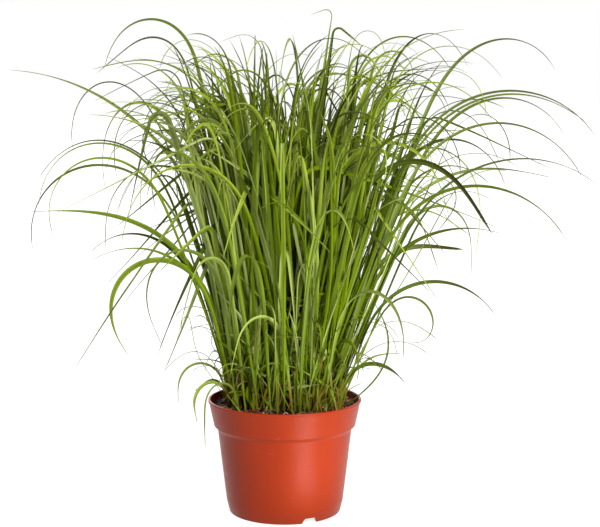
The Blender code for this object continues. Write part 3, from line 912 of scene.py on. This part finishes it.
def settled(blades, margin=1.0):
    """The blades that stay in the part's box, under its tallest leaves, and don't hang over the pot."""
    points, reach = rough_course(blades)
    low, high = np.array(cad_box[0]) / MM + margin, np.array(cad_box[1]) / MM - margin
    high[2] = MASS_TOP
    inside = np.all((points >= low) & (points <= high), axis=(1, 2))
    over_rim = np.any((points[..., 2] < POT_HEIGHT + 3) & (reach > RIM_RADIUS - 6), axis=1)
    return chosen(blades, inside & ~over_rim)


def main_blades(rng):
    """The mass of leaves, in shoots. Some stand up, some arch over and some are bent sharply and hang."""
    distance, bearing = tiller_places(rng, SHOOT_COUNT, CLUMP_REACH)
    distance = drawn_in(distance, bearing)
    shoot_lean = np.repeat(rng.normal(0, 2.8, SHOOT_COUNT), LEAVES_PER_SHOOT)
    distance, bearing = np.repeat(distance, LEAVES_PER_SHOOT), np.repeat(bearing, LEAVES_PER_SHOOT)
    count = len(distance)
    between, about = draws(rng, count)
    outer = distance / CLUMP_REACH
    side = np.cos(np.radians(bearing))
    rank = np.tile(np.linspace(0, 1, LEAVES_PER_SHOOT), SHOOT_COUNT)
    kind = between(0, 1)
    upright, bent = kind < 0.42, kind > 0.86

    def by_kind(standing, arching, hanging):
        return np.where(upright, standing, np.where(bent, hanging, arching))

    astray = between(0, 1) < 0.36
    lean = np.clip(outer * (6.5 + 3.9 * side) + shoot_lean + about(0, 2.8) + 1.2, 0, 30)
    lean = np.where(astray, between(2, 13), lean)
    azimuth = bearing + about(0, 1) * np.where(astray, 75, 22)
    start = by_kind(between(0.5, 0.9), np.clip(about(0.62, 0.1), 0.38, 0.86), between(0.45, 0.85))
    end = by_kind(start + between(0.3, 0.6), np.maximum(start + 0.2, between(0.92, 1.25)),
                  start + between(0.06, 0.14))
    return bunch(
        count, bearing=bearing, root=np.clip(distance + about(0, 0.6), 0, 45), azimuth=azimuth,
        veer=about(0, 1) * (70 - 30 * outer),
        length=by_kind(212 + 96 * rank, 255 + 88 * rank, 225 + 105 * rank) + 28 * (1 - outer) + about(0, 18),
        lean=lean, bow=8.5 - 3 * side, turn=by_kind(between(20, 100), between(85, 185), between(85, 150)),
        start=start, end=end, width=by_kind(between(2.5, 4.5), between(2.2, 3.8), between(2.8, 4.6)),
        twist=between(-85, 85), curl=between(-80, 80), tip=between(0.05, 0.1),
        draw=by_kind(between(1.6, 3.2), between(1.0, 2.2), between(1.4, 2.6)), sway=between(0.8, 3.0),
        deep=between(0, 1), pale=between(0, 1) ** 5,
    )


def fan_blades(rng, count=30):
    """Narrow leaves that splay to the right and arch over at their ends."""
    between, about = draws(rng, count)
    bearing = about(0, 30)
    start = between(0.5, 0.75)
    return bunch(
        count, bearing=bearing, root=between(12, 43), azimuth=bearing + about(0, 22), veer=about(0, 30),
        length=between(225, 350), lean=between(8, 22), bow=between(4, 14), turn=between(35, 130),
        start=start, end=start + between(0.35, 0.6), width=between(1.6, 3.2), twist=between(-80, 80),
        curl=between(-70, 70), tip=between(0.05, 0.1), draw=between(0.8, 1.8), sway=between(0.8, 2.5),
        # deep kept in the darker half, partly as painted shade on these leaves that splay to the right
        deep=between(0.5, 1), pale=between(0, 1) ** 5,
    )


def fine_blades(rng, count=45):
    """Narrow young leaves that end in long fine arcs."""
    between, about = draws(rng, count)
    bearing = between(0, 360)
    outer = np.sqrt(between(0.02, 1))
    side = np.cos(np.radians(bearing))
    start = between(0.5, 0.75)
    return bunch(
        count, bearing=bearing, root=46 * outer, azimuth=bearing + about(0, 12), veer=about(0, 45),
        length=between(230, 345), lean=np.clip(outer * (11 + 9 * side) + about(2, 4), 0, 34),
        bow=10 - 5 * side, turn=between(90, 210), start=start, end=between(0.95, 1.2),
        width=between(1.3, 2.5), twist=between(-80, 80), curl=between(-90, 90), tip=between(0.08, 0.14),
        draw=between(0.6, 1.0), sway=between(0.8, 3.0), deep=between(0, 1), pale=0.9 * between(0, 1) ** 2,
    )


def low_blades(rng, count=210):
    """Short young and bent leaves round the foot of the clump."""
    between, about = draws(rng, count)
    bearing = between(0, 360)
    outer = np.sqrt(between(0.2, 1))
    start = between(0.1, 0.6)
    dry = between(0, 1) > 0.95
    azimuth = bearing + about(0, 60)
    return bunch(
        count, bearing=bearing, root=drawn_in(44 * outer, bearing), azimuth=azimuth, veer=about(0, 70),
        length=between(35, 150) * (1 - 0.5 * np.abs(np.cos(np.radians(azimuth)))),
        lean=np.clip(about(10, 10), 0, 45), turn=between(10, 210), start=start,
        end=start + between(0.35, 0.9), width=np.where(dry, between(1.0, 2.0), between(1.6, 4.0)),
        twist=between(-80, 80), curl=between(-90, 90), tip=between(0.06, 0.12), draw=between(0.8, 1.4),
        sway=between(1, 4), deep=between(0, 0.9), pale=between(0, 1) ** 4, dry=0.8 * dry,
    )


def crossing_blades(rng, count=620):
    """Leaves of half height that lean and hang across the shoots."""
    between, about = draws(rng, count)
    bearing = between(0, 360)
    start = between(0.15, 0.7)
    return bunch(
        count, bearing=bearing, root=drawn_in(between(34, 49), bearing, 0.3),
        azimuth=bearing + rng.choice([-1, 1], count) * between(50, 120), veer=about(0, 45),
        length=45 + 150 * between(0, 1) ** 1.3, lean=between(4, 38), turn=between(20, 150), start=start,
        end=start + between(0.15, 0.5), width=between(1.6, 4.0), twist=between(-80, 80),
        curl=between(-80, 80), tip=between(0.06, 0.12), draw=between(1.0, 2.2), sway=between(1, 3.5),
        deep=between(0, 0.9), pale=between(0, 1) ** 4,
    )


def within_clump(blades):
    """The blades that stay inside the clump's widening outline."""
    points, reach = rough_course(blades)
    return chosen(blades, np.all(reach < 48 + 0.3 * np.maximum(points[..., 2] - POT_HEIGHT, 0), axis=1))


def tendrils(rng, count=34):
    """Threadlike curled ends of old leaves, low round the clump."""
    between, about = draws(rng, count)
    bearing = between(0, 360)
    start = between(0.1, 0.5)
    return bunch(
        count, bearing=bearing, root=between(36, 47), azimuth=bearing + about(0, 30), veer=about(0, 60),
        length=between(60, 150), lean=between(5, 32), turn=between(100, 300), start=start,
        end=between(1.0, 1.5), width=between(0.6, 1.0), twist=between(-80, 80), curl=between(-90, 90),
        tip=0.3, draw=0.7, sway=between(2, 6), deep=between(0.4, 1), dry=0.5 * between(0, 1) ** 2,
    )


def seedlings(rng, count=90):
    """Thin new shoots that come up singly through the compost."""
    between, about = draws(rng, count)
    bearing = between(0, 360)
    return bunch(
        count, bearing=bearing, root=51 * np.sqrt(between(0.15, 1)), azimuth=between(0, 360),
        veer=about(0, 30), length=between(12, 46), lean=between(0, 40), turn=between(-40, 70), start=0.2,
        end=between(0.9, 1.3), width=between(0.8, 2.0), twist=between(-60, 60), tip=between(0.1, 0.3),
        draw=between(0.8, 1.6), sway=between(1, 4), deep=between(0, 0.8), pale=0.9 * between(0, 1) ** 2,
    )


def dry_sheaths(rng, count=110):
    """Old scale leaves at the foot of the shoots."""
    between, about = draws(rng, count)
    bearing = between(0, 360)
    outer = np.sqrt(between(0.05, 1))
    return bunch(
        count, bearing=bearing, root=drawn_in(46 * outer, bearing), azimuth=bearing + about(0, 50),
        veer=about(0, 30), length=between(14, 58), lean=np.clip(about(12, 12), 0, 60), turn=about(20, 60),
        start=0.3, end=between(0.9, 1.3), width=between(1.2, 3.0), twist=between(-80, 80),
        curl=between(-60, 60), tip=between(0.06, 0.2), draw=between(0.5, 1.2), sway=between(1, 4), dry=1.0,
    )


def standout_blades():
    rows = np.array(STANDOUT, float).T
    columns = dict(zip(COLUMNS, rows[1:-1]))
    return bunch(len(STANDOUT), bearing=rows[0], **columns, pale=rows[-1], deep=0.3, draw=1.8)


def make_plant():
    leaf, straw = leaf_material(), straw_material()
    named_leaves(np.random.default_rng(11), leaf)
    rng = np.random.default_rng(2024)
    mass = settled(merged([main_blades(rng), fan_blades(rng), fine_blades(rng)]))
    order = np.argsort(mass["root"] + 12 * rng.uniform(0, 1, len(mass["root"])))
    groups = np.array_split(order, 10)
    sheaves = [f"sheaf_{i}" for i in range(1, 9)]
    for index, group in enumerate(groups):
        piece = blade_mesh(f"leaf_mass_{index + 1}", chosen(mass, group), rng, leaf)
        if index < len(sheaves):
            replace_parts(piece, sheaves[index])
    blade_mesh("standout_leaves", standout_blades(), rng, leaf)
    blade_mesh("low_leaves", settled(low_blades(rng)), rng, leaf, steps=30)
    blade_mesh("crossing_leaves", settled(within_clump(crossing_blades(rng))), rng, leaf, steps=36)
    blade_mesh("curled_tendrils", settled(tendrils(rng)), rng, leaf, steps=40)
    blade_mesh("seedlings", settled(seedlings(rng)), rng, leaf, steps=16)
    blade_mesh("dry_sheaths", settled(dry_sheaths(rng)), rng, straw, steps=16)


# ---------------- studio


FLOOR_REACH = 40  # metres
# Name, direction of the light, strength, how many degrees wide the source looks
SUNS = [
    ("soft_key", (-0.44, 0.70, -0.50), 4.8, 22),
    ("sky_panel", (0.0, 0.0, -1.0), 0.8, 100),
    ("back_panel", (0.35, -0.70, -0.60), 4.0, 80),
]
CAMERA_PLACE = (0.012, -1.06, 0.318)
CAMERA_TILT = 6.58  # below level
CAMERA_LENS = 82.3


def make_floor():
    far = FLOOR_REACH
    mesh = bpy.data.meshes.new("studio_floor")
    mesh.from_pydata([(-far, -far, 0), (far, -far, 0), (far, far, 0), (-far, far, 0)], [], [(0, 1, 2, 3)])
    mesh.materials.append(floor_material())
    linked("studio_floor", mesh)


def area_light(name, place, target, size, energy):
    lamp = bpy.data.lights.new(name, "AREA")
    lamp.shape = "RECTANGLE"
    lamp.size, lamp.size_y = size
    lamp.energy = energy
    obj = linked(name, lamp)
    obj.location = place
    obj.rotation_euler = (Vector(target) - Vector(place)).to_track_quat("-Z", "Y").to_euler()
    return obj


def sun_light(name, direction, energy, angle):
    lamp = bpy.data.lights.new(name, "SUN")
    lamp.energy = energy
    lamp.angle = math.radians(angle)
    obj = linked(name, lamp)
    obj.rotation_euler = Vector(direction).to_track_quat("-Z", "Y").to_euler()


def make_studio():
    scene = bpy.context.scene
    world = bpy.data.worlds.new("studio")
    scene.world = world
    world.use_nodes = True
    nodes, links = world.node_tree.nodes, world.node_tree.links
    lit = nodes["Background"]
    lit.inputs["Color"].default_value = (1, 1, 1, 1)
    lit.inputs["Strength"].default_value = 0.04
    seen = nodes.new("ShaderNodeBackground")
    seen.inputs["Color"].default_value = (1, 1, 1, 1)
    seen.inputs["Strength"].default_value = 1.0
    choose = nodes.new("ShaderNodeMixShader")
    links.new(nodes.new("ShaderNodeLightPath").outputs["Is Camera Ray"], choose.inputs[0])
    links.new(lit.outputs[0], choose.inputs[1])
    links.new(seen.outputs[0], choose.inputs[2])
    links.new(choose.outputs[0], nodes["World Output"].inputs["Surface"])

    for sun in SUNS:
        sun_light(*sun)
    area_light("softbox", (0.62, -1.20, 0.42), (0, 0, 0.1), (0.22, 0.8), 10)
    strip = area_light("strip", (0.102, -0.172, 0.004), (0.102, -0.172, 1.0), (0.055, 0.23), 0.33)
    strip.rotation_euler = (math.pi, 0, math.radians(31))

    camera = bpy.data.cameras.new("camera")
    camera.lens = CAMERA_LENS
    camera.sensor_width = 36
    camera.clip_start = 0.01
    view = linked("camera", camera)
    view.location = CAMERA_PLACE
    view.rotation_euler = (math.radians(90 - CAMERA_TILT), 0, 0)
    scene.camera = view
    scene.view_settings.view_transform = "Standard"


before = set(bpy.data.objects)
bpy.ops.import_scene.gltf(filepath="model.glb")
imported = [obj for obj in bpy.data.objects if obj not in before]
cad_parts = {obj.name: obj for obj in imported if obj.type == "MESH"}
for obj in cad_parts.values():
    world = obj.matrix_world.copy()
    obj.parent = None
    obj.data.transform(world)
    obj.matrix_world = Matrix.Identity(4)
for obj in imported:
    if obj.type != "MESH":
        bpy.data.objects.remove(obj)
cad_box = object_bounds()

make_pot()
make_compost(np.random.default_rng(7))
make_plant()
make_floor()
make_studio()
